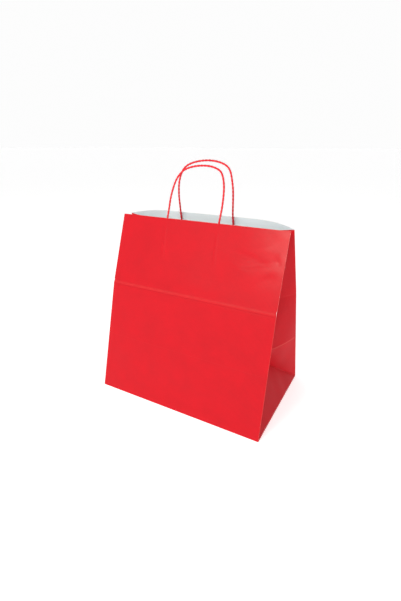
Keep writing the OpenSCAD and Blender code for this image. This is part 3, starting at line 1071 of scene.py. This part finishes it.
class MESH_OT_gift_bag_strips(bpy.types.Operator):
    """Make the backing strips and the cover strips that are pressed over the cord ends"""

    bl_idname = "mesh.gift_bag_strips"
    bl_label = "Handle strips"

    def execute(self, context):
        paper = context.scene.gift_bag_paper
        handles = context.scene.gift_bag_handles
        top = PANEL - handles.strip_drop
        ups = np.linspace(top - handles.strip_height, top, 25)
        for side in (FRONT, BACK):
            low, high = STRIP_BOX[side]
            across, up = panel_grid(side, low.x, high.x, ups, 1.2 * MM)
            flat = flat_of(side, across, up)
            below = PANEL - up
            wrap = np.zeros_like(across)
            for leg in (0, 1):
                away = np.abs(across - leg_across(side, leg, below))
                beside = away / (WRAP_WIDTH * handles.cord)
                wrap = np.maximum(wrap, np.cos(np.clip(beside, 0, 1) * math.pi / 2) ** 2)
            depths = {
                "backing": np.full_like(across, BACKING_DEPTH * paper.thickness),
                "cover": COVER_DEPTH * paper.thickness + wrap * (handles.cord + WRAP_ROOM),
            }
            for kind, depth in depths.items():
                node = f"{SIDE_NAMES[side]}_{kind}_strip"
                places = panel_face(side, across, up, paper, depth=depth)
                piece = paper_sheet(
                    node + "_sheet", places, flat, [strip_paper(), strip_paper()], paper.thickness
                )
                stand_for(piece, "strip_paper", node)
                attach(piece, f"{SIDE_NAMES[side]}_upper")
        return {"FINISHED"}


# A loop's centre line: distance along X, then reach up from the swing axis, in millimetres.
ROUTES = {
    FRONT: [
        (-64, 0), (-63, 9), (-62, 18), (-61, 29), (-59, 40), (-57, 48), (-54, 57.5), (-50, 66),
        (-45, 73), (-38, 79.5), (-28.5, 84), (-19, 86.5), (-9.5, 88), (0, 88.5), (9, 88.2),
        (18.5, 86.6), (27.5, 83.3), (33.5, 78.8), (37, 72.5), (39.3, 65), (41, 55), (41.5, 43),
        (41.2, 31), (40.5, 20), (39, 8), (38, 0),
    ],
    BACK: [
        (-61, 0), (-61, 12), (-61, 25), (-60, 37), (-58.3, 48), (-55.8, 56.5), (-51.5, 66.5),
        (-44.5, 76.3), (-35, 83), (-24.5, 87), (-14.5, 89.3), (-5, 90.6), (5, 91.1), (14, 90.7),
        (23, 89.2), (31.5, 86.5), (38, 82.8), (42.3, 78), (44.7, 72), (46, 64), (47, 54),
        (47.5, 43), (47, 31), (46.3, 20), (45.5, 8), (45, 0),
    ],
}


def smooth_route(points, step):
    """A smooth line through points (a Catmull-Rom spline), cut into equal steps."""
    points = np.array(points, float)
    ends = np.concatenate([[2 * points[0] - points[1]], points, [2 * points[-1] - points[-2]]])
    share = np.linspace(0, 1, 12, endpoint=False)[:, None]
    line = []
    for a, b, c, d in zip(ends[:-3], ends[1:-2], ends[2:-1], ends[3:]):
        bend = 2 * a - 5 * b + 4 * c - d + share * (3 * (b - c) + d - a)
        line.append(b + 0.5 * share * (c - a + share * bend))
    line = np.concatenate(line + [points[-1:]])
    length = np.concatenate([[0], np.cumsum(np.linalg.norm(np.diff(line, axis=0), axis=1))])
    even = np.linspace(0, length[-1], round(length[-1] / step) + 1)
    return np.stack([np.interp(even, length, line[:, i]) for i in range(3)], axis=-1), even


TUBE_SIDES = 20
# A strand's radius as a share of the cord's.
STRAND = 0.78


class MESH_OT_gift_bag_handles(bpy.types.Operator):
    """Make the two handles of twisted cord, from glued end to glued end"""

    bl_idname = "mesh.gift_bag_handles"
    bl_label = "Twisted cord handles"

    def execute(self, context):
        scene = context.scene
        for side in (FRONT, BACK):
            line, lengths = smooth_route(self.route(side, scene), 1.0 * MM)
            vertices, faces, flat = self.twisted_tube(line, lengths, scene.gift_bag_handles)
            word = SIDE_NAMES[side]
            handle = add_mesh(
                f"{word}_twisted_handle", vertices, faces, flat, [0] * len(faces), [twisted_paper()],
                sharp=math.radians(80),
            )
            stand_for(handle, "twisted_cord", f"{word}_handle", f"{word}_cord_ends")
            self.bend_at_mouth(handle, side, scene.gift_bag_handles)
        return {"FINISHED"}

    def glued_end(self, side, leg, scene):
        """The points of one cord end, from between the strips up to just above the mouth."""
        handles, paper = scene.gift_bag_handles, scene.gift_bag_paper
        deepest = handles.strip_drop + handles.strip_height - 2 * MM
        below = np.array([deepest, 50 * MM, 30 * MM, 14 * MM, 4 * MM])
        across = leg_across(side, leg, below)
        depth = CORD_DEPTH * paper.thickness + handles.cord / 2
        # Three columns give the panel its normals, and the middle one is the cord.
        columns = np.stack([across + side * MM, across, across - side * MM], axis=1)
        ups = np.repeat((PANEL - below)[:, None], 3, axis=1)
        return panel_face(side, columns, ups, paper, depth=depth)[:, 1]

    def route(self, side, scene):
        """The points of a whole cord, from its left end over the loop to its right end."""
        lean = scene.gift_bag_handles.lean
        y, z = SWING[side]
        way = up_the_paper(side, lean)
        loop = [np.array([x * MM, y, z]) + rise * MM * way for x, rise in ROUTES[side]]
        left, right = (self.glued_end(side, leg, scene) for leg in (0, 1))
        return [*left, *loop, *right[::-1]]

    def twisted_tube(self, line, lengths, handles):
        """Two strands pressed together and twisted, as one closed tube along the line."""
        sides = TUBE_SIDES
        radius = handles.cord / 2
        strand, offset = STRAND * radius, (1 - STRAND) * radius
        turns = 2 * math.pi * np.arange(sides) / sides
        outline = offset * np.abs(np.cos(turns)) + np.sqrt(strand ** 2 - (offset * np.sin(turns)) ** 2)
        way = np.gradient(line, axis=0)
        way /= np.linalg.norm(way, axis=1, keepdims=True)
        beside = np.array([0.0, 1.0, 0.0])
        vertices, flat = [], []
        for place, ahead, length in zip(line, way, lengths):
            beside = beside - ahead * (beside @ ahead)
            beside = beside / np.linalg.norm(beside)
            third = np.cross(ahead, beside)
            twist = turns + 2 * math.pi * length / handles.twist
            ring = np.cos(twist)[:, None] * beside + np.sin(twist)[:, None] * third
            vertices.append(place + outline[:, None] * ring)
            flat.append(np.stack([np.full(sides, length), turns * radius], axis=-1))
        faces = [tuple(range(sides))[::-1]]
        for i in range(len(line) - 1):
            for k in range(sides):
                a, b = i * sides + k, i * sides + (k + 1) % sides
                faces.append((a, b, b + sides, a + sides))
        last = (len(line) - 1) * sides
        faces.append(tuple(range(last, last + sides)))
        return np.concatenate(vertices), faces, np.concatenate(flat)

    def bend_at_mouth(self, handle, side, handles):
        """Bakes the handle's transform into its mesh."""
        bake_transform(handle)


# Each lamp: the place it faces, the way from there to it, its distance and its size. The glint
# lies at the right of the upper front panel.
LAMPS = {
    "Key": ((0, 0, 0.25), (0.10, -0.86, 0.50), 1.9, 0.9),
    "Top": ((0, 0.02, 0.33), (0, -0.08, 0.997), 1.6, 0.8),
    "Glint": ((0.15, -0.02, 0.31), (-0.27, -0.875, 0.40), 1.6, 0.35),
}
WARM_WHITE = (1.0, 0.93, 0.80)
WHITE = (1.0, 1.0, 1.0, 1.0)
# The walls' light fades into the ceiling's between these heights of the sky's direction.
WALL_TOP, CEILING = 0.38, 0.7
FLOOR_REACH = 40.0
FLOOR_DROP = 0.2 * MM
SENSOR_WIDTH = 36
# The camera's place, and the direction that it looks back along.
CAMERA_PLACE = Vector((0.3143, -0.5709, 0.4466))
CAMERA_BACK = Vector((0.4585, -0.8259, 0.3282))


class SCENE_OT_gift_bag_stage(bpy.types.Operator):
    """Make the pale floor, the soft lights and the camera"""

    bl_idname = "scene.gift_bag_stage"
    bl_label = "Stage"

    def execute(self, context):
        scene = context.scene
        stage, colours = scene.gift_bag_stage, scene.gift_bag_colours
        self.floor(scene, colours)
        self.sky(scene, stage)
        powers = {"Key": stage.key, "Top": stage.top, "Glint": stage.glint}
        for name, power in powers.items():
            lamp = self.softbox(name, *LAMPS[name], scene)
            lamp.energy = power
            if name == "Glint":
                lamp.color = WARM_WHITE
        self.camera(scene, stage)
        scene.view_settings.view_transform = "Standard"
        return {"FINISHED"}

    def floor(self, scene, colours):
        mesh = bpy.data.meshes.new("Floor")
        corners = [(-1, -1), (1, -1), (1, 1), (-1, 1)]
        vertices = [(x * FLOOR_REACH, y * FLOOR_REACH, 0) for x, y in corners]
        mesh.from_pydata(vertices, [], [(0, 1, 2, 3)])
        material, _, shader = new_material("Pale floor")
        shader.inputs["Base Color"].default_value = colour(colours.floor)
        shader.inputs["Roughness"].default_value = 0.8
        shader.inputs["Emission Color"].default_value = WHITE
        shader.inputs["Emission Strength"].default_value = scene.gift_bag_stage.floor_glow
        mesh.materials.append(material)
        floor = bpy.data.objects.new("Floor", mesh)
        floor.location.z = -FLOOR_DROP
        scene.collection.objects.link(floor)

    def sky(self, scene, stage):
        """A studio with bright walls and a darker ceiling."""
        world = bpy.data.worlds.new("Studio")
        world.use_nodes = True
        tree = world.node_tree
        up = add(tree, "SeparateXYZ", {0: add(tree, "TexCoord").outputs["Generated"]}).outputs[2]
        blend = {
            "Value": up, "From Min": WALL_TOP, "From Max": CEILING,
            "To Min": stage.horizon, "To Max": stage.zenith,
        }
        strength = add(tree, "MapRange", blend, interpolation_type="SMOOTHSTEP").outputs[0]
        background = tree.nodes["Background"]
        background.inputs["Color"].default_value = WHITE
        tree.links.new(strength, background.inputs["Strength"])
        scene.world = world

    def softbox(self, name, aim, way, distance, size, scene):
        """A square soft light that faces a place from the way there, at a distance."""
        data = bpy.data.lights.new(name, "AREA")
        data.size = size
        lamp = bpy.data.objects.new(name, data)
        lamp.location = Vector(aim) + distance * Vector(way)
        lamp.rotation_euler = (-Vector(way)).to_track_quat("-Z", "Y").to_euler()
        scene.collection.objects.link(lamp)
        return data

    def camera(self, scene, stage):
        data = bpy.data.cameras.new("Camera")
        data.lens = stage.lens
        data.sensor_width = SENSOR_WIDTH
        data.shift_y = stage.shift
        camera = bpy.data.objects.new("Camera", data)
        camera.location = CAMERA_PLACE
        camera.rotation_euler = (-CAMERA_BACK).to_track_quat("-Z", "Y").to_euler()
        scene.collection.objects.link(camera)
        scene.camera = camera


class VIEW3D_PT_gift_bag(bpy.types.Panel):
    """Lists the bag's pieces and sizes"""

    bl_label = "Gift bag"
    bl_space_type = "VIEW_3D"
    bl_region_type = "UI"
    bl_category = "Gift bag"

    def draw(self, context):
        for settings in SETTINGS:
            box = self.layout.box()
            group = getattr(context.scene, settings)
            for name in group.bl_rna.properties.keys():
                if name not in ("rna_type", "name"):
                    box.prop(group, name)
        for operator in OPERATORS:
            self.layout.operator(operator.bl_idname)


# ---- add-on --------------------------------------------------------------------------------------

SETTINGS = {
    "gift_bag_paper": GiftBagPaper,
    "gift_bag_handles": GiftBagHandles,
    "gift_bag_colours": GiftBagColours,
    "gift_bag_stage": GiftBagStage,
}
OPERATORS = (
    SCENE_OT_gift_bag_stage, MESH_OT_gift_bag_panels, MESH_OT_gift_bag_seam, MESH_OT_gift_bag_gussets,
    MESH_OT_gift_bag_base, MESH_OT_gift_bag_strips, MESH_OT_gift_bag_handles,
)


def register():
    for name, group in SETTINGS.items():
        bpy.utils.register_class(group)
        setattr(bpy.types.Scene, name, PointerProperty(type=group))
    for kind in (*OPERATORS, VIEW3D_PT_gift_bag):
        bpy.utils.register_class(kind)


def unregister():
    for kind in reversed((*OPERATORS, VIEW3D_PT_gift_bag)):
        bpy.utils.unregister_class(kind)
    for name, group in reversed(SETTINGS.items()):
        delattr(bpy.types.Scene, name)
        bpy.utils.unregister_class(group)


def main():
    register()
    for operator in OPERATORS:
        group, name = operator.bl_idname.split(".")
        getattr(getattr(bpy.ops, group), name)()
    bpy.context.view_layer.update()


if __name__ == "__main__":
    main()
